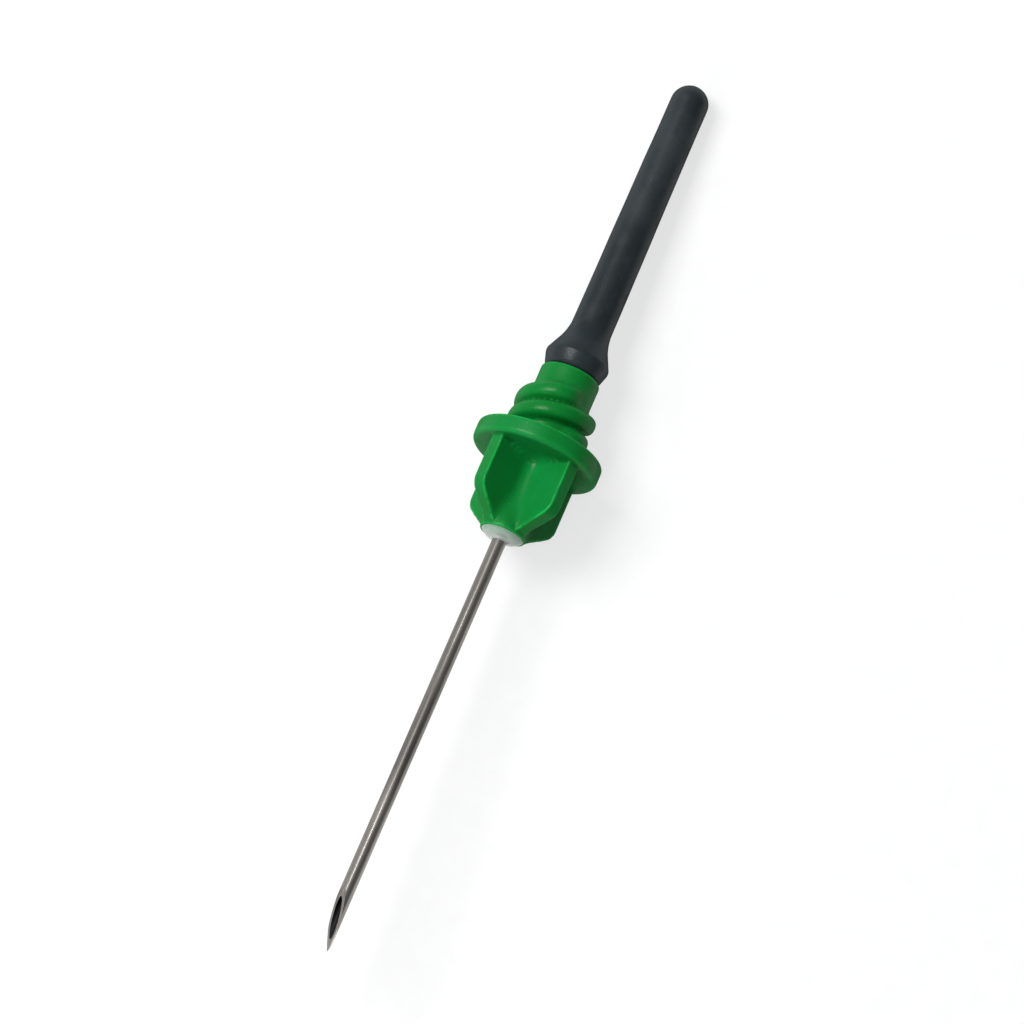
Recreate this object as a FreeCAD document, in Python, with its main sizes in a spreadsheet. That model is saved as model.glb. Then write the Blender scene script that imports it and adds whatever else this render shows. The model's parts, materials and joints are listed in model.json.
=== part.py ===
import FreeCAD, Part
import math
import os

import Sketcher

# Double-ended blood collection needle, lying on its flange rim and the end of its sleeve.
# Millimetres and degrees. Each piece is drawn along its own X axis, with X = 0 at the closed
# end of the rubber sleeve and the sharp end towards +X, then laid down on the surface.

doc = FreeCAD.newDocument("blood_collection_needle")

# Driving dimensions
sizes = [
    ("cannula_diameter", 0.8, "outside of the steel tube, 21 gauge"),
    ("lumen_diameter", 0.5, "inside of the steel tube"),
    ("front_length", 25.4, "steel that shows in front of the nose"),
    ("rear_length", 15.0, "steel behind the neck, under the sleeve"),
    ("bevel_angle", 12.0, "long front grind, from the axis"),
    ("lancet_angle", 18.5, "two side grinds at the tip, from the axis"),
    ("lancet_turn", 35.0, "side grinds, turned about the axis"),
    ("rear_bevel_angle", 20.0, "short rear grind, from the axis"),
    ("bevel_roll", -45.0, "way the front grind faces, turned from straight up"),
    ("flange_diameter", 7.2, "round flange"),
    ("flange_thickness", 1.05, "round flange"),
    ("flange_rounding", 0.28, "front rim of the flange"),
    ("flange_chamfer", 0.12, "rear rim of the flange"),
    ("nose_length", 4.5, "flange to end of nose"),
    ("nose_diameter", 2.64, "end of nose"),
    ("nose_land", 0.4, "straight stretch at the end of the nose"),
    ("spine_diameter", 1.6, "core between the ribs"),
    ("spine_flare", 1.7, "stretch where the core widens to the nose"),
    ("rib_count", 4, "ribs round the nose"),
    ("rib_turn", 45.0, "first rib, turned from straight up"),
    ("rib_step", 0.45, "rim of the flange to the back of each rib"),
    ("rib_thickness", 0.8, "each rib"),
    ("rib_length", 2.95, "full height of each rib, from the flange"),
    ("rib_corner", 0.8, "rounded shoulder of each rib"),
    ("rib_sink", 0.08, "depth at which each rib runs out into the nose"),
    ("rib_rounding", 0.1, "long edges of each rib"),
    ("pocket_rounding", 0.2, "inside corners between ribs, core and flange"),
    ("neck_diameter", 3.38, "root of the thread"),
    ("neck_length", 4.4, "flange to sleeve"),
    ("neck_chamfer", 0.16, "rear edge of the neck"),
    ("thread_diameter", 4.6, "crest of the thread"),
    ("thread_starts", 2, "equal threads side by side"),
    ("thread_pitch", 1.15, "crest to crest along the neck, right-hand"),
    ("thread_turns", 0.76, "full height of each thread"),
    ("thread_fade", 0.14, "turn over which each end sinks into the neck"),
    ("thread_start", 0.86, "flange to the middle of the first full crest"),
    ("thread_turn", 79.0, "place of the first full crest, turned from straight up"),
    ("thread_base", 1.02, "width of the thread at its root"),
    ("thread_crest", 0.66, "width of the thread under its rounded crest"),
    ("thread_crown", 0.4, "radius of the rounded crest"),
    ("thread_root", 0.16, "depth of the thread's foot inside the neck"),
    ("thread_sections", 12, "sections that shape each turn of the thread"),
    ("post_diameter", 1.9, "rear post that the sleeve grips"),
    ("post_length", 2.4, "rear post"),
    ("barb_diameter", 2.2, "ridge at the end of the post"),
    ("barb_length", 0.6, "ridge at the end of the post"),
    ("well_diameter", 1.5, "glue well in the nose"),
    ("well_depth", 0.9, "glue well in the nose"),
    ("bead_diameter", 2.44, "adhesive on the face of the nose"),
    ("bead_height", 0.42, "adhesive in front of the nose"),
    ("bead_bulge", 1.0, "radius of the adhesive's rounded face"),
    ("sleeve_length", 18.3, "whole rubber sleeve"),
    ("sleeve_end_diameter", 2.12, "closed end"),
    ("sleeve_base_diameter", 2.34, "tube where it meets the flare"),
    ("sleeve_collar_diameter", 3.7, "widest place"),
    ("sleeve_lip_diameter", 3.16, "open end"),
    ("sleeve_collar_length", 1.1, "open end to widest place"),
    ("sleeve_flare_length", 1.5, "widest place to tube"),
    ("sleeve_flare_bend", 2.2, "radius of the hollow flare"),
    ("sleeve_bore", 1.2, "space round the rear steel"),
    ("sleeve_end_wall", 0.9, "rubber at the closed end"),
    ("bore_gap", 0.02, "clearance of the steel in the hub, on the radius"),
    ("seat_gap", 0.01, "clearance of the sleeve on the post"),
    ("overshoot", 0.5, "how far a cutting outline runs past what it cuts"),
]
sheet = doc.addObject("Spreadsheet::Sheet", "Sizes")
for row, (alias, value, meaning) in enumerate(sizes, 1):
    sheet.set(f"A{row}", str(value))
    sheet.setAlias(f"A{row}", alias)
    sheet.set(f"B{row}", meaning)
doc.recompute()

# Places along the axis, counted from the closed end of the sleeve, and how the needle lies
places = [
    ("neck_end", "Sizes.sleeve_length + Sizes.seat_gap"),
    ("post_end", "neck_end - Sizes.post_length"),
    ("barb_shoulder", "post_end + Sizes.barb_length"),
    ("post_tip_radius", "Sizes.post_diameter - Sizes.barb_diameter / 2"),
    ("flange_back", "neck_end + Sizes.neck_length"),
    ("flange_front", "flange_back + Sizes.flange_thickness"),
    ("rib_shoulder", "flange_front + Sizes.rib_length"),
    ("nose_end", "flange_front + Sizes.nose_length"),
    ("land_start", "nose_end - Sizes.nose_land"),
    ("flare_start", "land_start - Sizes.spine_flare"),
    ("rib_reach", "Sizes.flange_diameter / 2 - Sizes.rib_step"),
    ("rib_foot", "Sizes.nose_diameter / 2 - Sizes.rib_sink"),
    ("well_bottom", "nose_end - Sizes.well_depth"),
    ("front_tip", "nose_end + Sizes.front_length"),
    ("rear_tip", "neck_end - Sizes.rear_length"),
    ("collar_top", "Sizes.sleeve_length - Sizes.sleeve_collar_length"),
    ("flare_top", "collar_top - Sizes.sleeve_flare_length"),
    ("end_radius", "Sizes.sleeve_end_diameter / 2"),
    ("rim_arm", "Sizes.flange_diameter / 2"),
    ("rim_reach", "flange_back + Sizes.flange_chamfer - end_radius"),
    ("rim_span", "sqrt(rim_arm ^ 2 + rim_reach ^ 2)"),
    ("rest_tilt", "acos(end_radius / rim_span) - atan(rim_reach / rim_arm)"),
    ("rest_height", "end_radius * (1 - sin(rest_tilt))"),
    ("low_end", "end_radius * (cos(rest_tilt) - 1)"),
    ("point_side", "Sizes.cannula_diameter / 2 * cos(Sizes.bevel_roll * 1 deg)"),
    ("high_end", "front_tip * cos(rest_tilt) + point_side * sin(rest_tilt)"),
    ("rest_shift", "-(low_end + high_end) / 2"),
    ("thread_arch", "Sizes.thread_crown - sqrt(Sizes.thread_crown ^ 2 - Sizes.thread_crest ^ 2 / 4)"),
    ("thread_low", "(Sizes.neck_diameter - Sizes.thread_root) / 2"),
    ("thread_rise", "Sizes.thread_diameter / 2 - thread_arch - thread_low"),
]
marks = doc.addObject("Spreadsheet::Sheet", "Places")
for row, (alias, formula) in enumerate(places, 1):
    marks.set(f"A{row}", "=" + formula)
    marks.setAlias(f"A{row}", alias)
doc.recompute()


def size(expression):
    """Value of an expression in the two sheets' words."""
    value = sheet.evalExpression(expression)
    return float(getattr(value, "Value", value))


def add_body(name, roll="0"):
    """A piece of the needle, laid down with the others and first turned about its axis by roll."""
    body = doc.addObject("PartDesign::Body", name)
    body.Label = name
    lie = f"placement(vector(Places.rest_shift; 0; Places.rest_height); rotation(0; -Places.rest_tilt; {roll}))"
    body.setExpression("Placement", lie)
    return body


def origin_part(body, role):
    """The body's own plane or axis of that role."""
    return [part for part in body.Origin.OriginFeatures if part.Role == role][0]


def add_sketch(body, name, outline, turn=None):
    """Closed outline in the plane through the axis, that plane turned about the axis by turn.

    Each corner is (along, out), and the side that leads to a corner is an arc if the corner
    also gives a radius: positive for a side that turns left on its way, negative for right.
    """
    sketch = body.newObject("Sketcher::SketchObject", name)
    sketch.AttachmentSupport = [(origin_part(body, "XZ_Plane"), "")]
    sketch.MapMode = "FlatFace"
    if turn:
        sketch.AttachmentOffset = FreeCAD.Placement(
            FreeCAD.Vector(0, 0, 0), FreeCAD.Rotation(FreeCAD.Vector(1, 0, 0), 1)
        )
        sketch.setExpression("AttachmentOffset.Rotation.Angle", f"-({turn})")
    corners = [FreeCAD.Vector(size(corner[0]), size(corner[1]), 0) for corner in outline]
    for index, corner in enumerate(outline):
        start, end = corners[index - 1], corners[index]
        if len(corner) == 2:
            sketch.addGeometry(Part.LineSegment(start, end))
            continue
        radius = size(corner[2])
        half = (end - start) * 0.5
        left = FreeCAD.Vector(-half.y, half.x, 0).normalize()
        depth = math.copysign(math.sqrt(radius ** 2 - half.Length ** 2), radius)
        centre = start + half + left * depth
        middle = centre - left * radius
        sketch.addGeometry(Part.Arc(start, middle, end))
    sides = len(outline)
    for index, corner in enumerate(outline):
        bend = len(corner) == 3
        # An arc runs left, so one that turns right is stored from its end to its start.
        backward = bend and size(corner[2]) < 0
        before = outline[index - 1]
        before_backward = len(before) == 3 and size(before[2]) < 0
        first = 2 if backward else 1
        last_before = 1 if before_backward else 2
        sketch.addConstraint(Sketcher.Constraint("Coincident", (index - 1) % sides, last_before, index, first))
        last = 1 if backward else 2
        along = sketch.addConstraint(Sketcher.Constraint("DistanceX", -1, 1, index, last, corners[index].x))
        out = sketch.addConstraint(Sketcher.Constraint("DistanceY", -1, 1, index, last, corners[index].y))
        sketch.setExpression(f"Constraints[{along}]", corner[0])
        sketch.setExpression(f"Constraints[{out}]", corner[1])
        if bend:
            radius = sketch.addConstraint(Sketcher.Constraint("Radius", index, abs(size(corner[2]))))
            sketch.setExpression(f"Constraints[{radius}]", corner[2].lstrip("-"))
    return sketch


def add_turned(body, name, sketch, kind="PartDesign::Revolution"):
    """The sketch turned once round the axis, as material or, with Groove, as a cut."""
    feature = body.newObject(kind, name)
    feature.Profile = sketch
    feature.ReferenceAxis = (sketch, ["H_Axis"])
    feature.Angle = 360
    doc.recompute()
    return feature


def add_grind(body, name, corners, turn=None):
    """Flat grind: everything on the outer side of a slanting line is cut away."""
    feature = body.newObject("PartDesign::Pocket", name)
    feature.Profile = add_sketch(body, name + "_line", corners, turn)
    feature.Type = "ThroughAll"
    feature.Midplane = True
    doc.recompute()
    return feature


def edges_where(feature, wanted, lengthwise=False):
    """Names of the feature's edges whose middle and both ends pass the test wanted(along, out).

    With lengthwise, an edge that stays at one place along the needle is left out.
    """
    names = []
    for number, edge in enumerate(feature.Shape.Edges, 1):
        low, high = edge.ParameterRange
        points = [edge.valueAt(low + (high - low) * share) for share in (0.02, 0.5, 0.98)]
        if lengthwise and abs(points[0].x - points[-1].x) < 0.01:
            continue
        if all(wanted(point.x, math.hypot(point.y, point.z)) for point in points):
            names.append(f"Edge{number}")
    return names


def add_fillet(body, name, feature, edges, radius):
    """Rounding along the named edges of the feature."""
    fillet = body.newObject("PartDesign::Fillet", name)
    fillet.Base = (feature, edges)
    fillet.setExpression("Radius", radius)
    doc.recompute()
    return fillet


# Hub: one green moulding, with its nose, ribs, flange, threaded neck and rear post
hub = add_body("hub")
core_sketch = add_sketch(hub, "core_outline", [
    ("Places.post_end", "0"),
    ("Places.post_end", "Places.post_tip_radius"),
    ("Places.barb_shoulder", "Sizes.barb_diameter / 2"),
    ("Places.barb_shoulder", "Sizes.post_diameter / 2"),
    ("Places.neck_end", "Sizes.post_diameter / 2"),
    ("Places.neck_end", "Sizes.neck_diameter / 2 - Sizes.neck_chamfer"),
    ("Places.neck_end + Sizes.neck_chamfer", "Sizes.neck_diameter / 2"),
    ("Places.flange_back", "Sizes.neck_diameter / 2"),
    ("Places.flange_back", "Sizes.flange_diameter / 2 - Sizes.flange_chamfer"),
    ("Places.flange_back + Sizes.flange_chamfer", "Sizes.flange_diameter / 2"),
    ("Places.flange_front", "Sizes.flange_diameter / 2"),
    ("Places.flange_front", "Sizes.spine_diameter / 2"),
    ("Places.flare_start", "Sizes.spine_diameter / 2"),
    ("Places.land_start", "Sizes.nose_diameter / 2"),
    ("Places.nose_end", "Sizes.nose_diameter / 2"),
    ("Places.nose_end", "0"),
])
core = add_turned(hub, "core", core_sketch)

rib_sketch = add_sketch(hub, "rib_outline", [
    ("Places.flange_front - Sizes.flange_thickness / 2", "Sizes.spine_diameter / 4"),
    ("Places.land_start", "Sizes.spine_diameter / 4"),
    ("Places.land_start", "Places.rib_foot"),
    ("Places.rib_shoulder", "Places.rib_reach"),
    ("Places.flange_front - Sizes.flange_thickness / 2", "Places.rib_reach"),
], "Sizes.rib_turn")
rib = hub.newObject("PartDesign::Pad", "rib")
rib.Profile = rib_sketch
rib.Midplane = True
rib.setExpression("Length", "Sizes.rib_thickness")
doc.recompute()

ribs = hub.newObject("PartDesign::PolarPattern", "ribs")
ribs.Originals = [rib]
ribs.Axis = (origin_part(hub, "X_Axis"), [""])
ribs.Angle = 360
ribs.setExpression("Occurrences", "Sizes.rib_count")
hub.Tip = ribs
doc.recompute()

# Each thread is a coarse rounded rib that rises out of the neck, winds round it to the right
# and sinks again. Its sections stand at equal turns, each a little nearer the sleeve.
whole_wind = "(Sizes.thread_turns + 2 * Sizes.thread_fade)"
lead = "Sizes.thread_pitch * Sizes.thread_starts"
steps = round(size(whole_wind) * size("Sizes.thread_sections"))
sections = []
for step in range(steps + 1):
    wound = f"({step} / {steps} * {whole_wind})"
    to_nearer_end = min(step, steps - step) / steps * size(whole_wind)
    full = min(1, to_nearer_end / size("Sizes.thread_fade"))
    rise = math.sin(math.pi / 2 * full)
    middle = f"Places.flange_back - Sizes.thread_start - {lead} * ({wound} - Sizes.thread_fade)"
    shoulder = f"Places.thread_low + {rise} * Places.thread_rise"
    sections.append(add_sketch(hub, f"thread_section_{step}", [
        (f"{middle} - Sizes.thread_base / 2", "Sizes.neck_diameter / 2 - Sizes.thread_root"),
        (f"{middle} + Sizes.thread_base / 2", "Sizes.neck_diameter / 2 - Sizes.thread_root"),
        (f"{middle} + Sizes.thread_crest / 2", shoulder),
        (f"{middle} - Sizes.thread_crest / 2", shoulder, "Sizes.thread_crown"),
    ], f"Sizes.thread_turn + 360 * ({wound} - Sizes.thread_fade)"))
thread = hub.newObject("PartDesign::AdditiveLoft", "thread")
thread.Profile = sections[0]
thread.Sections = sections[1:]
doc.recompute()

threads = hub.newObject("PartDesign::PolarPattern", "threads")
threads.Originals = [thread]
threads.Axis = (origin_part(hub, "X_Axis"), [""])
threads.Angle = 360
threads.setExpression("Occurrences", "Sizes.thread_starts")
hub.Tip = threads
doc.recompute()


def near(value, expression):
    """Whether a measure is that of the expression, within a hundredth of a millimetre."""
    return abs(value - size(expression)) < 0.01


def on_front_rim(along, out):
    return near(along, "Places.flange_front") and near(out, "Sizes.flange_diameter / 2")


def on_rib_shoulder(along, out):
    return near(along, "Places.rib_shoulder") and out > size("Places.rib_reach - Sizes.rib_corner")


def on_rib_back(along, out):
    """The long outer edges of the ribs, over the shoulder and down the slant."""
    slant = max(0, along - size("Places.rib_shoulder")) / size("Places.land_start - Places.rib_shoulder")
    rib_out = size("Places.rib_reach") - slant * size("Places.rib_reach - Places.rib_foot")
    in_front = size("Places.flange_front") < along < size("Places.land_start")
    return in_front and abs(out - rib_out) < size("Sizes.rib_sink")


def on_pocket_floor(along, out):
    """Where the straight stretch of the core meets the ribs."""
    return size("Places.flange_front") < along < size("Places.flare_start") and near(out, "Sizes.spine_diameter / 2")


rim = add_fillet(hub, "front_rim", threads, edges_where(threads, on_front_rim), "Sizes.flange_rounding")
shoulders = add_fillet(hub, "rib_shoulders", rim, edges_where(rim, on_rib_shoulder), "Sizes.rib_corner")
back_edges = edges_where(shoulders, on_rib_back, lengthwise=True)
backs = add_fillet(hub, "rib_backs", shoulders, back_edges, "Sizes.rib_rounding")
floor_edges = edges_where(backs, on_pocket_floor, lengthwise=True)
floors = add_fillet(hub, "pocket_floors", backs, floor_edges, "Sizes.pocket_rounding")

bore_sketch = add_sketch(hub, "bore_outline", [
    ("Places.post_end - Sizes.overshoot", "0"),
    ("Places.nose_end + Sizes.overshoot", "0"),
    ("Places.nose_end + Sizes.overshoot", "Sizes.well_diameter / 2"),
    ("Places.well_bottom", "Sizes.well_diameter / 2"),
    ("Places.well_bottom", "Sizes.cannula_diameter / 2 + Sizes.bore_gap"),
    ("Places.post_end - Sizes.overshoot", "Sizes.cannula_diameter / 2 + Sizes.bore_gap"),
])
bore = add_turned(hub, "bore", bore_sketch, "PartDesign::Groove")

# Cannula: one steel tube, ground at both ends
cannula = add_body("cannula", "-Sizes.bevel_roll")
tube_sketch = add_sketch(cannula, "tube_outline", [
    ("Places.rear_tip", "Sizes.lumen_diameter / 2"),
    ("Places.front_tip", "Sizes.lumen_diameter / 2"),
    ("Places.front_tip", "Sizes.cannula_diameter / 2"),
    ("Places.rear_tip", "Sizes.cannula_diameter / 2"),
])
tube = add_turned(cannula, "tube", tube_sketch)

below = "Sizes.cannula_diameter / 2 + Sizes.overshoot"
bevel_run = "tan(Sizes.bevel_angle * 1 deg)"
bevel = add_grind(cannula, "bevel", [
    (f"Places.front_tip + Sizes.overshoot / {bevel_run}", f"-({below})"),
    (f"Places.front_tip + Sizes.overshoot / {bevel_run}", below),
    (f"Places.front_tip - (Sizes.cannula_diameter + Sizes.overshoot) / {bevel_run}", below),
])

# Each side grind is a plane through the point of the tip, turned to one side of the bevel.
point_out = "Sizes.cannula_diameter / 2 * cos(Sizes.lancet_turn * 1 deg)"
lancet_run = "tan(Sizes.lancet_angle * 1 deg)"
lancet_drop = f"({below} - {point_out})"
lancet = add_grind(cannula, "lancet", [
    (f"Places.front_tip + {lancet_drop} / {lancet_run}", f"-({below})"),
    (f"Places.front_tip + {lancet_drop} / {lancet_run}", below),
    (f"Places.front_tip - ({below} + {point_out}) / {lancet_run}", below),
], "Sizes.lancet_turn")
lancets = cannula.newObject("PartDesign::Mirrored", "lancets")
lancets.Originals = [lancet]
lancets.MirrorPlane = (origin_part(cannula, "XZ_Plane"), [""])
cannula.Tip = lancets
doc.recompute()

rear_run = "tan(Sizes.rear_bevel_angle * 1 deg)"
rear_bevel = add_grind(cannula, "rear_bevel", [
    (f"Places.rear_tip - Sizes.overshoot / {rear_run}", below),
    (f"Places.rear_tip - Sizes.overshoot / {rear_run}", f"-({below})"),
    (f"Places.rear_tip + (Sizes.cannula_diameter + Sizes.overshoot) / {rear_run}", below),
])

# Rubber sleeve: thin closed tube with a hollow flare to a collar that grips the post
sleeve = add_body("rubber_sleeve")
sleeve_sketch = add_sketch(sleeve, "sleeve_outline", [
    ("0", "0", "Places.end_radius"),
    ("Sizes.sleeve_end_wall", "0"),
    ("Sizes.sleeve_end_wall", "Sizes.sleeve_bore / 2"),
    ("Places.post_end - Sizes.seat_gap", "Sizes.sleeve_bore / 2"),
    ("Places.post_end - Sizes.seat_gap", "Places.post_tip_radius + Sizes.seat_gap"),
    ("Places.barb_shoulder + Sizes.seat_gap", "Sizes.barb_diameter / 2 + Sizes.seat_gap"),
    ("Places.barb_shoulder + Sizes.seat_gap", "Sizes.post_diameter / 2 + Sizes.seat_gap"),
    ("Sizes.sleeve_length", "Sizes.post_diameter / 2 + Sizes.seat_gap"),
    ("Sizes.sleeve_length", "Sizes.sleeve_lip_diameter / 2"),
    ("Places.collar_top", "Sizes.sleeve_collar_diameter / 2"),
    ("Places.flare_top", "Sizes.sleeve_base_diameter / 2", "-Sizes.sleeve_flare_bend"),
    ("Places.end_radius", "Places.end_radius"),
])
sleeve_turned = add_turned(sleeve, "sleeve", sleeve_sketch)

# Adhesive: a plug in the glue well, rounded up round the steel in front of the nose
bead = add_body("adhesive_bead")
bead_sketch = add_sketch(bead, "bead_outline", [
    ("Places.well_bottom", "Sizes.cannula_diameter / 2"),
    ("Places.nose_end + Sizes.bead_height", "Sizes.cannula_diameter / 2"),
    ("Places.nose_end", "Sizes.bead_diameter / 2", "Sizes.bead_bulge"),
    ("Places.nose_end", "Sizes.well_diameter / 2"),
    ("Places.well_bottom", "Sizes.well_diameter / 2"),
])
bead_turned = add_turned(bead, "bead", bead_sketch)

doc.recompute()
pieces = [hub, cannula, sleeve, bead]
for item in doc.Objects:
    if "Invalid" in item.State or "Error" in item.State:
        raise RuntimeError(f"{item.Name} is not built: {item.State}")
for piece in pieces:
    if piece.Shape.isNull() or not piece.Shape.isValid() or len(piece.Shape.Solids) != 1:
        raise RuntimeError(f"{piece.Label} is not one sound solid")
os.makedirs("parts", exist_ok=True)
for piece in pieces:
    piece.Shape.exportStep(f"parts/{piece.Label}.step")
    box = piece.Shape.optimalBoundingBox(False)
    print(f"{piece.Label}: {box.XLength:.2f} x {box.YLength:.2f} x {box.ZLength:.2f} mm, lowest {box.ZMin:.3f}")
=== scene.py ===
import json
import math

import bmesh
import bpy
from mathutils import Matrix, Vector, noise


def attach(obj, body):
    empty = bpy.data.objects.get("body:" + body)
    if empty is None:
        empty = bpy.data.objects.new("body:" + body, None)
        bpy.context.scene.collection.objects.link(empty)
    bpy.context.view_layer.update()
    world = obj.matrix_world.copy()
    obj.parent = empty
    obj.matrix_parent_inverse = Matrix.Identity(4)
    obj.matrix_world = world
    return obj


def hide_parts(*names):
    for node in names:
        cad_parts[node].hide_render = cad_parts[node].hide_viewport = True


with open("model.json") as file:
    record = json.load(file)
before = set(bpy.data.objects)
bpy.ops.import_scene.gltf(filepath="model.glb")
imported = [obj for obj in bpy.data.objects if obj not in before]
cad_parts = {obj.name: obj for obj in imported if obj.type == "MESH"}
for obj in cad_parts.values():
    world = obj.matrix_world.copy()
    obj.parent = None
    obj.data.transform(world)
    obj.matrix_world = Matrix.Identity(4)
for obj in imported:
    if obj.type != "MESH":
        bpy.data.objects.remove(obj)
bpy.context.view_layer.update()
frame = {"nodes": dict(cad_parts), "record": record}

scene = bpy.context.scene
print("frame loaded:", ", ".join(sorted(frame["nodes"])))

# Every piece is drawn in millimetres along its own X, from the closed end of the sleeve (0)
# to the sharp end, and then laid where the CAD has it.
mounts = {mount["name"]: mount for mount in frame["record"]["mounts"]}
along = Vector(mounts["front_steel"]["axis"])
across = Vector((0, 1, 0))
toPlace = Matrix.Translation(mounts["tube_end"]["pos_m"]) @ Matrix(
    (along, across, along.cross(across))
).transposed().to_4x4() @ Matrix.Scale(0.001, 4)

# places along the axis that the pieces share
stations = {
    "rearTip": 3.31,
    "postEnd": 15.91,
    "neckEnd": 18.31,
    "flangeBack": 22.71,
    "flangeFront": 23.76,
    "noseEnd": 28.26,
    "frontTip": 53.65,
}

# passes that spread the bend marks, and how strong they are
bendBlur = 3
bendGain = 2.8


def facesAndEdges(bm):
    return bm.verts[:] + bm.edges[:] + bm.faces[:]


def outlineFace(bm, corners):
    # corners are (along, out, rounding, segments), and a rounding of 0 stays sharp
    verts = [bm.verts.new((corner[0], 0, corner[1])) for corner in corners]
    face = bm.faces.new(verts)
    for vert, corner in zip(verts, corners):
        if corner[2]:
            bmesh.ops.bevel(
                bm, geom=[vert], offset=corner[2], offset_type="OFFSET", segments=corner[3],
                profile=0.5, affect="VERTICES", material=-1,
            )
    return next(iter(bm.faces))


def turned(corners, steps):
    # the outline's edges, turned once round the axis
    bm = bmesh.new()
    face = outlineFace(bm, corners)
    bmesh.ops.delete(bm, geom=[face], context="FACES_ONLY")
    bmesh.ops.spin(
        bm, geom=bm.verts[:] + bm.edges[:], cent=(0, 0, 0), axis=(1, 0, 0),
        angle=2 * math.pi, steps=steps, use_merge=True,
    )
    bmesh.ops.remove_doubles(bm, verts=bm.verts, dist=0.0005)
    bmesh.ops.delete(bm, geom=[edge for edge in bm.edges if not edge.link_faces], context="EDGES")
    bmesh.ops.recalc_face_normals(bm, faces=bm.faces)
    return bm


def rollBy(bm, degrees):
    # turns it round the axis
    bmesh.ops.rotate(bm, matrix=Matrix.Rotation(math.radians(degrees), 3, "X"), verts=bm.verts)


def repeated(bm, count):
    # copies it evenly round the axis
    bmesh.ops.spin(
        bm, geom=facesAndEdges(bm), cent=(0, 0, 0), axis=(1, 0, 0),
        angle=2 * math.pi * (count - 1) / count, steps=count - 1, use_duplicate=True,
    )
    bmesh.ops.recalc_face_normals(bm, faces=bm.faces)
    return bm


def uneven(bm, depth, size, seed):
    # presses the surface in here and there by up to depth, as soft things are never quite true
    for vert in bm.verts:
        out = math.hypot(vert.co.y, vert.co.z)
        if out > 0.5:
            press = depth * (0.5 + 0.5 * noise.noise(vert.co / size + Vector((seed, 0, 0))))
            vert.co.y *= 1 - press / out
            vert.co.z *= 1 - press / out


def markBends(bm):
    # stores how far each vertex stands out of its neighbours: 0.5 flat, 1 edge, 0 hollow
    layer = bm.verts.layers.float.new("bend")
    bm.normal_update()
    raw = {}
    for vert in bm.verts:
        near = [edge.other_vert(vert).co for edge in vert.link_edges]
        middle = sum(near, Vector()) / len(near)
        reach = sum((co - vert.co).length for co in near) / len(near)
        raw[vert] = (vert.co - middle).dot(vert.normal) / max(reach, 1e-6)
    for step in range(bendBlur):
        blurred = {}
        for vert in bm.verts:
            around = [raw[edge.other_vert(vert)] for edge in vert.link_edges]
            blurred[vert] = (raw[vert] + sum(around) / len(around)) / 2
        raw = blurred
    for vert in bm.verts:
        vert[layer] = max(0, min(1, 0.5 + bendGain * raw[vert]))


def finished(bm, name, node, materials, smoothUnder=35):
    # lays the piece in place and hands it to the frame
    markBends(bm)
    bm.transform(toPlace)
    bmesh.ops.recalc_face_normals(bm, faces=bm.faces)
    mesh = bpy.data.meshes.new(name)
    for face in bm.faces:
        face.smooth = True
    bm.to_mesh(mesh)
    bm.free()
    mesh.set_sharp_from_angle(angle=math.radians(smoothUnder))
    for material in materials:
        mesh.materials.append(material)
    piece = bpy.data.objects.new(name, mesh)
    scene.collection.objects.link(piece)
    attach(piece, "root")
    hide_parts(node)
    print(name, "has", len(mesh.polygons), "faces")


# shader effects
def put(tree, kind, inputs, **settings):
    # a new node with its settings, each input either linked or set
    node = tree.nodes.new(kind)
    for key, value in settings.items():
        setattr(node, key, value)
    for key, value in inputs.items():
        if isinstance(value, bpy.types.NodeSocket):
            tree.links.new(value, node.inputs[key])
        else:
            node.inputs[key].default_value = value
    return node


def needleSpace(tree, stretch=1):
    # millimetres along and across the needle, drawn out lengthwise by stretch
    coordinates = put(tree, "ShaderNodeTexCoord", {})
    return put(tree, "ShaderNodeMapping", {
        "Vector": coordinates.outputs["Object"],
        "Location": mounts["tube_end"]["pos_m"],
        "Rotation": (0, -math.asin(along.z), 0),
        "Scale": (0.001 * stretch, 0.001, 0.001),
    }, vector_type="TEXTURE").outputs["Vector"]


def effect(name, inputs, outputs):
    tree = bpy.data.node_groups.new(name, "ShaderNodeTree")
    for label, value in inputs.items():
        kind = "NodeSocketColor" if isinstance(value, tuple) else "NodeSocketFloat"
        tree.interface.new_socket(label, in_out="INPUT", socket_type=kind).default_value = value
    for label in outputs:
        kind = "NodeSocketColor" if label == "Color" else "NodeSocketFloat"
        tree.interface.new_socket(label, in_out="OUTPUT", socket_type=kind)
    return tree, put(tree, "NodeGroupInput", {}).outputs, put(tree, "NodeGroupOutput", {}).inputs


def math2(tree, operation, first, second, clamp=False):
    node = put(tree, "ShaderNodeMath", {0: first, 1: second}, operation=operation, use_clamp=clamp)
    return node.outputs["Value"]


def added(tree, first, second, clamp=False):
    return math2(tree, "ADD", first, second, clamp)


def times(tree, first, second):
    return math2(tree, "MULTIPLY", first, second)


def mixed(tree, factor, first, second):
    # sockets 6, 7 and out 2 are the node's colours
    mix = put(tree, "ShaderNodeMix", {"Factor": factor, 6: first, 7: second}, data_type="RGBA")
    return mix.outputs[2]


def remap(tree, value, low, high, toLow=0.0, toHigh=1.0):
    return put(tree, "ShaderNodeMapRange", {
        "Value": value, "From Min": low, "From Max": high, "To Min": toLow, "To Max": toHigh,
    }, interpolation_type="SMOOTHSTEP").outputs["Result"]


def noiseAt(tree, where, scale, detail=3.0, roughness=0.5):
    return put(tree, "ShaderNodeTexNoise", {
        "Vector": where, "Scale": scale, "Detail": detail, "Roughness": roughness,
    }).outputs["Fac"]


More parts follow.
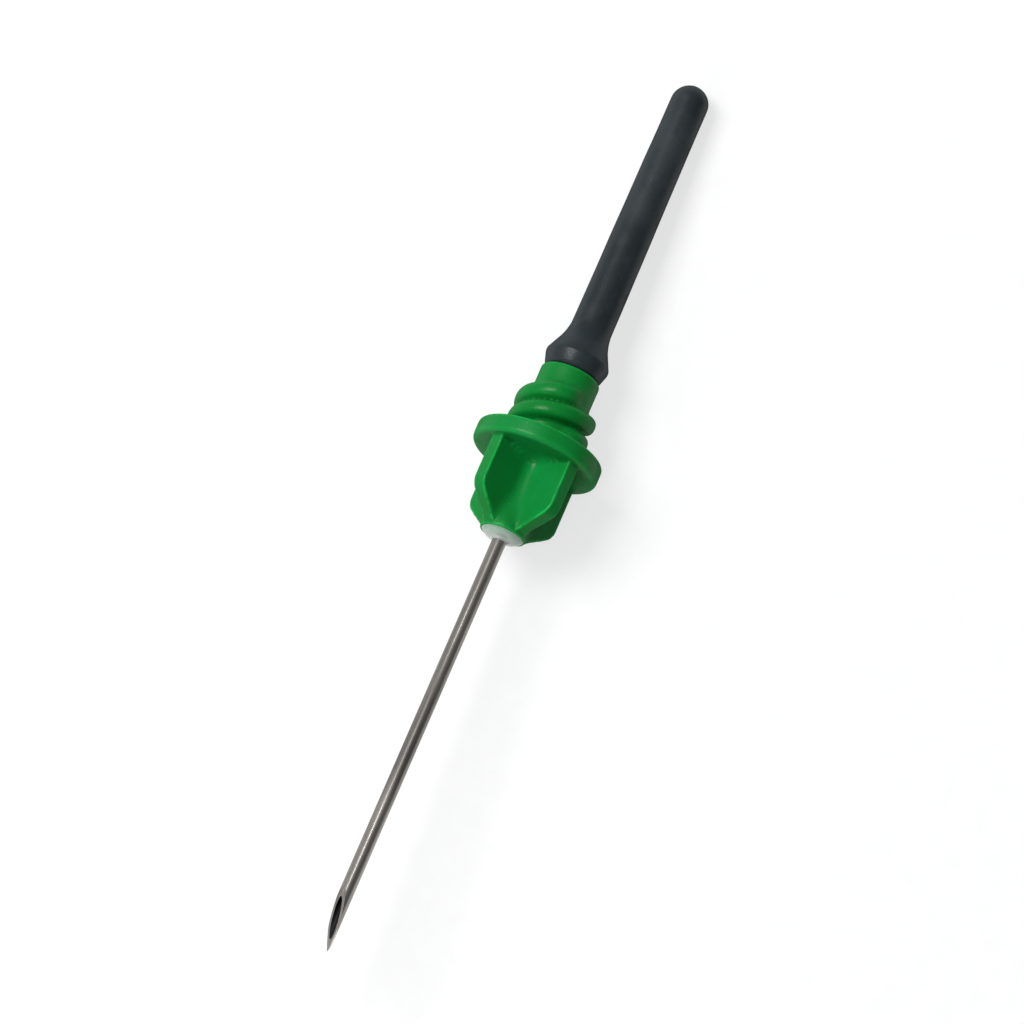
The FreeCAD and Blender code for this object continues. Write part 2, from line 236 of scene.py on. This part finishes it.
# fine skin of a moulded or cured surface, with sparse shallow pits
grainEffect, given, gives = effect("surfaceGrain", {"Scale": 6.0, "Pits": 0.3}, ["Height"])
where = needleSpace(grainEffect)
skin = noiseAt(grainEffect, where, given["Scale"], 5.0, 0.6)
cells = put(grainEffect, "ShaderNodeTexVoronoi", {"Vector": where, "Scale": given["Scale"]})
pits = times(grainEffect, remap(grainEffect, cells.outputs["Distance"], 0.25, 0.0), given["Pits"])
grainEffect.links.new(math2(grainEffect, "SUBTRACT", skin, pits), gives["Height"])

# lengthwise lines left by drawing or polishing
streakEffect, given, gives = effect("lengthwiseStreaks", {"Scale": 9.0, "Contrast": 0.5}, ["Streak"])
fine = noiseAt(streakEffect, needleSpace(streakEffect, 45), given["Scale"], 4.0, 0.65)
broad = noiseAt(streakEffect, needleSpace(streakEffect, 18), times(streakEffect, given["Scale"], 0.3), 2.0)
both = added(streakEffect, times(streakEffect, fine, 0.6), times(streakEffect, broad, 0.4))
centred = math2(streakEffect, "SUBTRACT", both, 0.5)
spread = times(streakEffect, centred, times(streakEffect, given["Contrast"], 4.0))
streakEffect.links.new(added(streakEffect, spread, 0.5, True), gives["Streak"])

# soft blotches of handling, and fine specks of dust
handlingEffect, given, gives = effect("handling", {"Scale": 0.5, "Dust": 0.3}, ["Smudge", "Speck"])
where = needleSpace(handlingEffect)
blotch = noiseAt(handlingEffect, where, given["Scale"], 4.0, 0.55)
handlingEffect.links.new(remap(handlingEffect, blotch, 0.42, 0.66), gives["Smudge"])
specks = put(handlingEffect, "ShaderNodeTexVoronoi", {"Vector": where, "Scale": 5.0, "Randomness": 1.0})
lot = put(handlingEffect, "ShaderNodeSeparateColor", {"Color": specks.outputs["Color"]}).outputs["Red"]
chosen = remap(handlingEffect, lot, 0.86, 0.9)
dots = times(handlingEffect, remap(handlingEffect, specks.outputs["Distance"], 0.2, 0.08), chosen)
handlingEffect.links.new(times(handlingEffect, dots, given["Dust"]), gives["Speck"])

# painted highlights along edges, and the hollows beside them for painted shade and duller reflections, from
# the bend stored on the mesh
edgeLightHollowShadeEffect, given, gives = effect("edgeLightHollowShade", {"Breakup": 2.0}, ["Edge", "Hollow"])
bend = put(edgeLightHollowShadeEffect, "ShaderNodeAttribute", {}, attribute_name="bend").outputs["Fac"]
patches = noiseAt(edgeLightHollowShadeEffect, needleSpace(edgeLightHollowShadeEffect), given["Breakup"])
broken = remap(edgeLightHollowShadeEffect, patches, 0.3, 0.6, 0.35, 1.0)
edgeLightHollowShadeEffect.links.new(times(edgeLightHollowShadeEffect, remap(edgeLightHollowShadeEffect, bend, 0.56, 0.8), broken), gives["Edge"])
edgeLightHollowShadeEffect.links.new(remap(edgeLightHollowShadeEffect, bend, 0.45, 0.25), gives["Hollow"])

# a colour that drifts darker and lighter over the piece
driftEffect, given, gives = effect("colourDrift", {
    "Base": (0.5, 0.5, 0.5, 1.0), "Amount": 0.1, "Scale": 0.4, "Lighten": 0.0, "Darken": 0.0,
}, ["Color"])
drift = noiseAt(driftEffect, needleSpace(driftEffect), given["Scale"], 3.0)
swing = times(driftEffect, math2(driftEffect, "SUBTRACT", drift, 0.5), given["Amount"])
level = added(driftEffect, added(driftEffect, swing, 1.0), given["Lighten"])
level = math2(driftEffect, "SUBTRACT", level, given["Darken"])
shifted = put(driftEffect, "ShaderNodeHueSaturation", {
    "Hue": added(driftEffect, times(driftEffect, swing, 0.05), 0.5),
    "Saturation": 1.0, "Value": level, "Fac": 1.0, "Color": given["Base"],
})
driftEffect.links.new(shifted.outputs["Color"], gives["Color"])
print("shader effects made")


def newMaterial(name, constants):
    material = bpy.data.materials.new(name)
    material.use_nodes = True
    tree = material.node_tree
    shader = tree.nodes["Principled BSDF"]
    for key, value in constants.items():
        shader.inputs[key].default_value = value
    return material, tree, shader


def use(tree, group, **inputs):
    # one effect in a material
    return put(tree, "ShaderNodeGroup", inputs, node_tree=group)


def dullerAtGrazing(tree, roughness, amount):
    # surfaces seen edge-on spread their reflections further
    facing = put(tree, "ShaderNodeLayerWeight", {"Blend": 0.5}).outputs["Facing"]
    return added(tree, roughness, times(tree, math2(tree, "POWER", facing, 2.0), amount), True)


def bumped(tree, shader, height, depth):
    # depth in metres
    bump = put(tree, "ShaderNodeBump", {"Height": height, "Distance": depth, "Strength": 1.0})
    tree.links.new(bump.outputs["Normal"], shader.inputs["Normal"])


def paleGreen(name, p):
    material, tree, shader = newMaterial(name, {
        "Specular IOR Level": 0.16, "Subsurface Weight": 0.1, "Subsurface Scale": 0.0005,
        "Subsurface Radius": (0.15, 1.0, 0.3),
    })
    edgeLightHollowShade = use(tree, edgeLightHollowShadeEffect, Breakup=1.5)
    handling = use(tree, handlingEffect, Scale=0.45, Dust=0.35)
    streaks = use(tree, streakEffect, Scale=2.2, Contrast=0.35)
    # the edges are lightened as a painted highlight and the hollows darkened as painted shade
    tone = use(
        tree, driftEffect, Base=(*p["color"], 1), Amount=0.5, Scale=0.35,
        Lighten=times(tree, edgeLightHollowShade.outputs["Edge"], 0.8),
        Darken=times(tree, edgeLightHollowShade.outputs["Hollow"], 0.35),
    )
    dust = times(tree, handling.outputs["Speck"], 0.5)
    dusty = mixed(tree, dust, tone.outputs["Color"], (0.5, 0.62, 0.5, 1))
    tree.links.new(dusty, shader.inputs["Base Color"])
    rough = added(tree, p["roughness"], times(tree, handling.outputs["Smudge"], 0.12))
    rough = added(tree, rough, times(tree, edgeLightHollowShade.outputs["Hollow"], 0.1))
    rough = added(tree, rough, times(tree, streaks.outputs["Streak"], 0.06))
    tree.links.new(dullerAtGrazing(tree, rough, 0.6), shader.inputs["Roughness"])
    grain = use(tree, grainEffect, Scale=5.0, Pits=0.2)
    lines = times(tree, streaks.outputs["Streak"], 0.3)
    height = added(tree, times(tree, grain.outputs["Height"], 0.7), lines)
    bumped(tree, shader, height, p["bump"])
    return material


def mattRubber(name, p):
    material, tree, shader = newMaterial(name, {
        "Specular IOR Level": 0.22, "Sheen Weight": 0.01, "Sheen Roughness": 0.4,
    })
    edgeLightHollowShade = use(tree, edgeLightHollowShadeEffect, Breakup=1.2)
    handling = use(tree, handlingEffect, Scale=0.4, Dust=0.8)
    streaks = use(tree, streakEffect, Scale=3.0, Contrast=0.6)
    # the edges are lightened as a painted highlight
    tone = use(
        tree, driftEffect, Base=(*p["color"], 1), Amount=0.6, Scale=0.5,
        Lighten=times(tree, edgeLightHollowShade.outputs["Edge"], 0.35),
        Darken=times(tree, streaks.outputs["Streak"], 0.18),
    )
    smudges = times(tree, handling.outputs["Smudge"], p["powder"])
    powder = added(tree, smudges, times(tree, handling.outputs["Speck"], 0.25))
    dusted = mixed(tree, powder, tone.outputs["Color"], (0.22, 0.24, 0.25, 1))
    tree.links.new(dusted, shader.inputs["Base Color"])
    rough = added(tree, p["roughness"], times(tree, handling.outputs["Smudge"], 0.15))
    rough = math2(tree, "SUBTRACT", rough, times(tree, streaks.outputs["Streak"], 0.08))
    tree.links.new(dullerAtGrazing(tree, rough, 0.7), shader.inputs["Roughness"])
    grain = use(tree, grainEffect, Scale=9.0, Pits=0.5)
    bumped(tree, shader, grain.outputs["Height"], p["bump"])
    return material


def drawnSteel(name, p):
    material, tree, shader = newMaterial(name, {"Metallic": 1.0})
    streaks = use(tree, streakEffect, Scale=p["streakScale"], Contrast=p["contrast"])
    handling = use(tree, handlingEffect, Scale=0.3, Dust=0.15)
    tone = use(
        tree, driftEffect, Base=(*p["color"], 1), Amount=0.35, Scale=0.25,
        Darken=times(tree, streaks.outputs["Streak"], p["darken"]),
    )
    tree.links.new(tone.outputs["Color"], shader.inputs["Base Color"])
    rough = added(tree, p["roughness"], times(tree, streaks.outputs["Streak"], 0.16))
    rough = added(tree, rough, times(tree, handling.outputs["Smudge"], 0.1))
    tree.links.new(rough, shader.inputs["Roughness"])
    bumped(tree, shader, streaks.outputs["Streak"], p["bump"])
    return material


# the inside of the tube, its near-black colour painted shade
def paintedShadeBore(name, p):
    material, tree, shader = newMaterial(name, {"Metallic": 0.6, "Specular IOR Level": 0.2})
    handling = use(tree, handlingEffect, Scale=1.5, Dust=0.4)
    streaks = use(tree, streakEffect, Scale=p["streakScale"], Contrast=0.6)
    tone = use(
        tree, driftEffect, Base=(*p["boreShadeColor"], 1), Amount=0.4, Scale=1.0,
        Darken=times(tree, streaks.outputs["Streak"], 0.4),
    )
    tree.links.new(tone.outputs["Color"], shader.inputs["Base Color"])
    rough = added(tree, p["boreRoughness"], times(tree, handling.outputs["Smudge"], 0.2))
    tree.links.new(rough, shader.inputs["Roughness"])
    bumped(tree, shader, streaks.outputs["Streak"], p["bump"])
    return material


def curedAdhesive(name, p):
    material, tree, shader = newMaterial(name, {
        "Subsurface Weight": 0.5, "Subsurface Scale": 0.0004, "Subsurface Radius": (0.8, 1.0, 0.8),
        "Transmission Weight": p["clear"], "IOR": 1.48, "Coat Roughness": 0.08,
    })
    handling = use(tree, handlingEffect, Scale=1.2, Dust=0.3)
    tone = use(tree, driftEffect, Base=(*p["color"], 1), Amount=0.4, Scale=1.8)
    sides = put(tree, "ShaderNodeSeparateXYZ", {"Vector": needleSpace(tree)}).outputs
    squared = added(tree, math2(tree, "POWER", sides["Y"], 2.0), math2(tree, "POWER", sides["Z"], 2.0))
    thin = remap(tree, math2(tree, "SQRT", squared, 0.0), 0.75, p["thinFrom"])
    shown = mixed(tree, times(tree, thin, 0.8), tone.outputs["Color"], (*p["underColor"], 1))
    tree.links.new(shown, shader.inputs["Base Color"])
    rough = added(tree, p["roughness"], times(tree, handling.outputs["Smudge"], 0.15))
    tree.links.new(rough, shader.inputs["Roughness"])
    coat = remap(tree, handling.outputs["Smudge"], 0.0, 1.0, 0.5, 0.2)
    tree.links.new(coat, shader.inputs["Coat Weight"])
    grain = use(tree, grainEffect, Scale=2.5, Pits=0.4)
    bumped(tree, shader, grain.outputs["Height"], p["bump"])
    return material


# rubber sleeve
sleeve = {
    "start": 0.01,
    "length": 18.3,
    "endRadius": 1.06,
    "baseRadius": 1.17,
    "flareLength": 1.4,
    "flareRounding": 0.6,
    "collarLength": 1.0,
    "collarRadius": 1.85,
    "collarRounding": 0.12,
    "shoulderLength": 0.12,
    "shoulderStep": 0.1,
    "lipRadius": 1.58,
    "lipRounding": 0.25,
    "seatRadius": 0.96,
    "seatRounding": 0.05,
    "seatGap": 0.01,
    "bore": 0.6,
    "boreRounding": 0.3,
    "endWall": 0.9,
    "uneven": 0.03,
    "steps": 96,
    "longFace": 0.6,
    "cuts": 24,
    "look": {"color": (0.024, 0.033, 0.037), "roughness": 0.36, "powder": 0.06, "bump": 0.00001},
}


def makeSleeve(p):
    collarTop = p["length"] - p["collarLength"]
    flareTop = collarTop - p["flareLength"]
    seatEnd = stations["postEnd"] - p["seatGap"]
    bm = turned([
        (p["start"], 0, 0),
        (p["start"], p["endRadius"], p["endRadius"] * 0.98, 16),
        (flareTop, p["baseRadius"], p["flareRounding"], 10),
        (collarTop - p["shoulderLength"], p["collarRadius"] - p["shoulderStep"], p["collarRounding"], 5),
        (collarTop + p["shoulderStep"], p["collarRadius"], p["collarRounding"], 5),
        (p["length"], p["lipRadius"], p["lipRounding"], 5),
        (p["length"], p["seatRadius"], p["seatRounding"], 3),
        (seatEnd, p["seatRadius"], 0),
        (seatEnd, p["bore"], 0),
        (p["endWall"], p["bore"], p["boreRounding"], 5),
        (p["endWall"], 0, 0),
    ], p["steps"])
    # the long faces are cut into rings, or the unevenness wouldn't show on them
    lengthwise = [edge for edge in bm.edges if abs(edge.verts[0].co.x - edge.verts[1].co.x) > p["longFace"]]
    bmesh.ops.subdivide_edges(bm, edges=lengthwise, cuts=p["cuts"])
    uneven(bm, p["uneven"], 2.5, 4)
    finished(bm, "rubberSleeve", "rubber_sleeve", [mattRubber("blackRubber", p["look"])])


# green hub, one moulding
hub = {
    "postRadius": 0.95,
    "barbLength": 0.6,
    "barbHeight": 0.15,
    "neckRadius": 1.69,
    "flangeRadius": 3.6,
    "spineRadius": 0.8,
    "noseRadius": 1.32,
    "noseLand": 0.4,
    "spineFlare": 1.7,
    "boreRadius": 0.42,
    "wellRadius": 0.75,
    "wellDepth": 0.9,
    "rounding": {
        "neckRear": 0.16, "neckFront": 0.1, "flangeBack": 0.12, "flangeFront": 0.28,
        "spineRoot": 0.16, "spineFlare": 0.2, "nose": 0.1, "noseRim": 0.05,
    },
    "ribCount": 4,
    "ribTurn": -45,
    "ribReach": 3.15,
    "ribLength": 2.95,
    "ribThickness": 0.8,
    "ribRoot": 0.5,
    "ribFoot": 0.06,
    "ribSink": 0.04,
    "ribStop": 0.12,
    "ribCorner": 0.45,
    "threadRadius": 2.34,
    "threadStarts": 2,
    "threadLead": 2.3,
    "threadTurns": 1.04,
    "threadFade": 0.14,
    "threadEndHeight": 0.2,
    "threadStart": 0.538,
    "threadTurnAtStart": 28.6,
    "threadBase": 1.16,
    "threadCrest": 0.84,
    "threadFoot": 1.55,
    "threadRounding": 0.3,
    "threadSteps": 90,
    "steps": 180,
    "grain": 0.066,
    "softening": 5,
    "threadSoftening": 16,
    "filling": 12,
    "fillReach": 1.7,
    "fillShares": (1.4, 1.2, 1),
    "look": {"color": (0.004, 0.24, 0.038), "roughness": 0.25, "bump": 0.00001},
}


def makeCore(p):
    landStart = stations["noseEnd"] - p["noseLand"]
    wellBottom = stations["noseEnd"] - p["wellDepth"]
    barbEnd = stations["postEnd"] + p["barbLength"]
    rounding = p["rounding"]
    return turned([
        (stations["postEnd"], p["boreRadius"], 0),
        (stations["postEnd"], p["postRadius"] - p["barbHeight"], 0),
        (barbEnd, p["postRadius"] + p["barbHeight"], 0),
        (barbEnd, p["postRadius"], 0),
        (stations["neckEnd"], p["postRadius"], 0),
        (stations["neckEnd"], p["neckRadius"], rounding["neckRear"], 4),
        (stations["flangeBack"], p["neckRadius"], rounding["neckFront"], 4),
        (stations["flangeBack"], p["flangeRadius"], rounding["flangeBack"], 4),
        (stations["flangeFront"], p["flangeRadius"], rounding["flangeFront"], 8),
        (stations["flangeFront"], p["spineRadius"], rounding["spineRoot"], 5),
        (landStart - p["spineFlare"], p["spineRadius"], rounding["spineFlare"], 5),
        (landStart, p["noseRadius"], rounding["nose"], 4),
        (stations["noseEnd"], p["noseRadius"], rounding["noseRim"], 3),
        (stations["noseEnd"], p["wellRadius"], 0),
        (wellBottom, p["wellRadius"], 0),
        (wellBottom, p["boreRadius"], 0),
    ], p["steps"])


def makeRibs(p):
    bm = bmesh.new()
    root = stations["flangeFront"] - p["ribRoot"]
    foot = p["spineRadius"] - p["ribFoot"]
    ribEnd = stations["noseEnd"] - p["ribStop"]
    shoulder = stations["flangeFront"] + p["ribLength"]
    face = outlineFace(bm, [
        (root, foot, 0),
        (ribEnd, foot, 0),
        (ribEnd, p["noseRadius"] - p["ribSink"], 0),
        (shoulder, p["ribReach"], p["ribCorner"], 10),
        (root, p["ribReach"], 0),
    ])
    bmesh.ops.translate(bm, vec=(0, -p["ribThickness"] / 2, 0), verts=bm.verts)
    grown = bmesh.ops.extrude_face_region(bm, geom=[face])
    farSide = [item for item in grown["geom"] if isinstance(item, bmesh.types.BMVert)]
    bmesh.ops.translate(bm, vec=(0, p["ribThickness"], 0), verts=farSide)
    rollBy(bm, p["ribTurn"])
    return repeated(bm, p["ribCount"])


def makeThread(p):
    bm = bmesh.new()
    half = p["threadBase"] / 2
    top = p["threadCrest"] / 2
    face = outlineFace(bm, [
        (-half, p["threadFoot"], 0),
        (half, p["threadFoot"], 0),
        (top, p["threadRadius"], p["threadRounding"], 5),
        (-top, p["threadRadius"], p["threadRounding"], 5),
    ])
    bmesh.ops.delete(bm, geom=[face], context="FACES_ONLY")
    first = stations["flangeBack"] - p["threadStart"]
    rollBy(bm, -p["threadTurnAtStart"])
    bmesh.ops.translate(bm, vec=(first, 0, 0), verts=bm.verts)
    steps = round(p["threadTurns"] * p["threadSteps"])
    bmesh.ops.spin(
        bm, geom=bm.verts[:] + bm.edges[:], cent=(0, 0, 0), axis=(1, 0, 0),
        angle=-2 * math.pi * p["threadTurns"], steps=steps,
        dvec=(-p["threadLead"] * p["threadTurns"] / steps, 0, 0),
    )
    bmesh.ops.holes_fill(bm, edges=[edge for edge in bm.edges if edge.is_boundary])
    # both ends of the thread sink into the neck
    low = p["threadEndHeight"]
    for vert in bm.verts:
        azimuth = math.degrees(math.atan2(vert.co.y, vert.co.z)) - p["threadTurnAtStart"]
        part = azimuth / 360 % 1
        wound = part + round((first - vert.co.x) / p["threadLead"] - part)
        toEnd = min(wound, p["threadTurns"] - wound)
        rise = math.sin(math.pi / 2 * max(0, min(1, toEnd / p["threadFade"])))
        out = math.hypot(vert.co.y, vert.co.z)
        lower = (p["threadFoot"] + (out - p["threadFoot"]) * (low + (1 - low) * rise)) / out
        vert.co.y *= lower
        vert.co.z *= lower
    return repeated(bm, p["threadStarts"])


def moulded(parts, grain, softening):
    # a fine remesh joins the overlapping forms into one moulding and softens its edges
    mesh = bpy.data.meshes.new("forms")
    joined = bmesh.new()
    for part in parts:
        part.to_mesh(mesh)
        joined.from_mesh(mesh)
        part.free()
    joined.to_mesh(mesh)
    joined.free()
    forms = bpy.data.objects.new("forms", mesh)
    scene.collection.objects.link(forms)
    join = forms.modifiers.new("join", "REMESH")
    join.mode = "VOXEL"
    join.voxel_size = grain
    smooth = forms.modifiers.new("smooth", "SMOOTH")
    smooth.factor = 0.5
    smooth.iterations = softening
    shaped = bpy.data.meshes.new_from_object(forms.evaluated_get(bpy.context.evaluated_depsgraph_get()))
    bpy.data.objects.remove(forms)
    bm = bmesh.new()
    bm.from_mesh(shaped)
    return bm


def ringOf(bm, low, high, inner, outer):
    # the vertices from low to high along the axis, and from inner to outer round it
    return [
        vert for vert in bm.verts
        if low < vert.co.x < high and inner < math.hypot(vert.co.y, vert.co.z) < outer
    ]


def soften(bm, passes, ring):
    # evens out a ring of the surface
    for step in range(passes):
        bmesh.ops.smooth_vert(bm, verts=ring, factor=0.5, use_axis_x=True, use_axis_y=True, use_axis_z=True)


def fillHollows(bm, passes, low, high, reach):
    # rounds the inside corners between the ribs, as the mould's cores do, and leaves what is flat
    slightest = 0.0004
    pocket = ringOf(bm, low, high, -1, reach)
    for step in range(passes):
        bm.normal_update()
        sunk = []
        for vert in pocket:
            near = [edge.other_vert(vert).co for edge in vert.link_edges]
            middle = sum(near, Vector()) / len(near)
            if (middle - vert.co).dot(vert.normal) > slightest:
                sunk.append((vert, middle))
        for vert, middle in sunk:
            vert.co = middle
    soften(bm, passes, ringOf(bm, low, high, 0.5, reach))


def makeHub(p):
    bm = moulded([makeCore(p), makeRibs(p), makeThread(p)], p["grain"], p["softening"])
    thread = ringOf(bm, stations["neckEnd"] + 0.4, stations["flangeBack"] - 0.05, 1.5, 2.5)
    soften(bm, p["threadSoftening"], thread)
    # from the widest reach to the real one, so that the filling ends without a step
    pocketStart = stations["flangeFront"] - 0.1
    pocketEnd = stations["noseEnd"] - 0.25
    for share in p["fillShares"]:
        fillHollows(bm, p["filling"], pocketStart, pocketEnd - 0.1 * share, p["fillReach"] * share)
    finished(bm, "greenHub", "hub", [paleGreen("greenPlastic", p["look"])], 180)


# steel tube
cannula = {
    "radius": 0.4,
    "lumen": 0.25,
    "bevelAngle": 12,
    "lancetAngle": 18.5,
    "lancetTurn": 35,
    "rearAngle": 20,
    "bevelRoll": -45,
    "steps": 64,
    "look": {
        "color": (0.43, 0.405, 0.375), "roughness": 0.34, "streakScale": 5.0,
        "contrast": 0.8, "darken": 0.6, "bump": 0.000002,
        # the bore's near-black colour is painted shade
        "boreShadeColor": (0.02, 0.02, 0.022), "boreRoughness": 0.5,
    },
}


def grind(bm, point, turn, angle, forward):
    # a flat cut through the point, its plane at this angle to the axis
    lean = math.radians(angle)
    normal = Vector((math.sin(lean) * forward, 0, math.cos(lean)))
    normal.rotate(Matrix.Rotation(math.radians(-turn), 3, "X"))
    cut = bmesh.ops.bisect_plane(
        bm, geom=facesAndEdges(bm), dist=1e-5, plane_co=point, plane_no=normal, clear_outer=True
    )
    rim = [item for item in cut["geom_cut"] if isinstance(item, bmesh.types.BMEdge)]
    bmesh.ops.triangle_fill(bm, edges=rim, use_beauty=True)


def makeCannula(p):
    bm = turned([
        (stations["rearTip"], p["lumen"], 0),
        (stations["frontTip"], p["lumen"], 0),
        (stations["frontTip"], p["radius"], 0),
        (stations["rearTip"], p["radius"], 0),
    ], p["steps"])
    tip = Vector((stations["frontTip"], 0, -p["radius"]))
    grind(bm, tip, 0, p["bevelAngle"], 1)
    for side in (1, -1):
        grind(bm, tip, p["lancetTurn"] * side, p["lancetAngle"], 1)
    grind(bm, Vector((stations["rearTip"], 0, -p["radius"])), 0, p["rearAngle"], -1)
    # the inside takes the second material, whose near-black colour is painted shade in the bore
    for face in bm.faces:
        onBore = all(math.hypot(vert.co.y, vert.co.z) < p["lumen"] + 0.002 for vert in face.verts)
        face.material_index = 1 if onBore else 0
    rollBy(bm, -p["bevelRoll"])
    finished(bm, "steelCannula", "cannula", [
        drawnSteel("drawnSteel", p["look"]), paintedShadeBore("paintedShadeBore", p["look"]),
    ])


# adhesive
bead = {
    "radius": 1.22,
    "height": 0.42,
    "crown": (0.72, 0.56),  # share of the height, and radius there
    "shoulder": (0.55, 0.95),
    "crownRounding": 0.1,
    "shoulderRounding": 0.2,
    "uneven": 0.04,
    "steps": 64,
    "look": {
        "color": (0.68, 0.8, 0.7), "underColor": (0.26, 0.62, 0.34), "thinFrom": 1.25,
        "roughness": 0.12, "clear": 0.2, "bump": 0.00002,
    },
}


def makeBead(p):
    # fills the hub's well round the steel
    noseEnd = stations["noseEnd"]
    wellBottom = noseEnd - hub["wellDepth"]
    crown, crownRadius = p["crown"]
    shoulder, shoulderRadius = p["shoulder"]
    bm = turned([
        (wellBottom, cannula["radius"], 0),
        (noseEnd + p["height"], cannula["radius"], 0),
        (noseEnd + p["height"] * crown, crownRadius, p["crownRounding"], 4),
        (noseEnd + p["height"] * shoulder, shoulderRadius, p["shoulderRounding"], 5),
        (noseEnd, p["radius"], 0),
        (noseEnd, hub["wellRadius"], 0),
        (wellBottom, hub["wellRadius"], 0),
    ], p["steps"])
    uneven(bm, p["uneven"], 0.9, 9)
    glue = curedAdhesive("clearAdhesive", p["look"])
    finished(bm, "adhesiveDrop", "adhesive_bead", [glue])


makeSleeve(sleeve)
makeHub(hub)
makeCannula(cannula)
makeBead(bead)

# floor
ground = {"size": 3, "color": 0.34, "mottle": 0.015, "glow": 0.7, "bump": 0.00001}


def paper(name, p):
    # white paper that glows a little to the camera and in reflections, so that it stays white
    material, tree, shader = newMaterial(name, {
        "Roughness": 0.9, "Specular IOR Level": 0.1, "Emission Strength": p["glow"],
    })
    ray = put(tree, "ShaderNodeLightPath", {}).outputs
    seen = added(tree, ray["Is Camera Ray"], ray["Is Glossy Ray"])
    seen = added(tree, seen, ray["Is Transmission Ray"], True)
    tree.links.new(seen, shader.inputs["Emission Color"])
    fibres = use(tree, grainEffect, Scale=0.9, Pits=0.2).outputs["Height"]
    grey = remap(tree, fibres, 0.2, 0.8, p["color"] - p["mottle"], p["color"] + p["mottle"])
    tree.links.new(grey, shader.inputs["Base Color"])
    bumped(tree, shader, fibres, p["bump"])
    return material


floorMesh = bpy.data.meshes.new("floor")
bm = bmesh.new()
bmesh.ops.create_grid(bm, x_segments=1, y_segments=1, size=ground["size"])
bm.to_mesh(floorMesh)
bm.free()
floor = bpy.data.objects.new("floor", floorMesh)
scene.collection.objects.link(floor)
floorMesh.materials.append(paper("floorPaper", ground))
print("floor laid")

# light, the room brighter on the side of its window
room = {"color": (0.94, 0.97, 1, 1), "window": 0.38, "wall": 0.16}
softboxes = {
    "window": {"energy": 1.45, "size": 0.2, "place": (-0.03, -0.22, 0.38)},
    "front": {"energy": 0.25, "size": 0.2, "place": (0.35, -0.12, 0.2)},
}
world = bpy.data.worlds.new("studio")
scene.world = world
world.use_nodes = True
sky = world.node_tree
background = sky.nodes["Background"].inputs
background["Color"].default_value = room["color"]
direction = put(sky, "ShaderNodeTexCoord", {}).outputs["Generated"]
depth = put(sky, "ShaderNodeSeparateXYZ", {"Vector": direction}).outputs["Y"]
sky.links.new(remap(sky, depth, -0.8, 0.8, room["window"], room["wall"]), background["Strength"])


def softbox(name, energy, size, place):
    lamp = bpy.data.lights.new(name, "AREA")
    lamp.energy = energy
    lamp.size = size
    box = bpy.data.objects.new(name, lamp)
    scene.collection.objects.link(box)
    box.location = place
    box.rotation_euler = (-box.location).to_track_quat("-Z", "Y").to_euler()


for name, settings in softboxes.items():
    softbox(name, **settings)
print("lights hung")

# camera, looking down on the needle as the photo does: lean and round tip its view off the
# vertical, and slope turns the picture
view = {"lens": 400, "height": 0.0552, "lean": 12.9, "round": 4.0, "slope": 66.5}
toCamera = Vector((0, 0, 1))
toCamera.rotate(Matrix.Rotation(math.radians(view["lean"]), 3, "Y"))
toCamera.rotate(Matrix.Rotation(math.radians(-view["round"]), 3, "X"))
sleeveWay = (-along - toCamera * toCamera.dot(-along)).normalized()
rightWay = sleeveWay.cross(toCamera)
slope = math.radians(view["slope"])
right = sleeveWay * math.cos(slope) + rightWay * math.sin(slope)
upward = toCamera.cross(right)
lens = bpy.data.cameras.new("camera")
lens.lens = view["lens"]
lens.clip_start = 0.001
lens.clip_end = 10
camera = bpy.data.objects.new("camera", lens)
scene.collection.objects.link(camera)
middle = toPlace @ Vector((stations["frontTip"] / 2, 0, 0))
distance = view["height"] * view["lens"] / lens.sensor_width
facing = Matrix((right, upward, toCamera)).transposed().to_4x4()
camera.matrix_world = Matrix.Translation(middle + toCamera * distance) @ facing
scene.camera = camera
print("camera placed")

scene.view_settings.view_transform = "Standard"
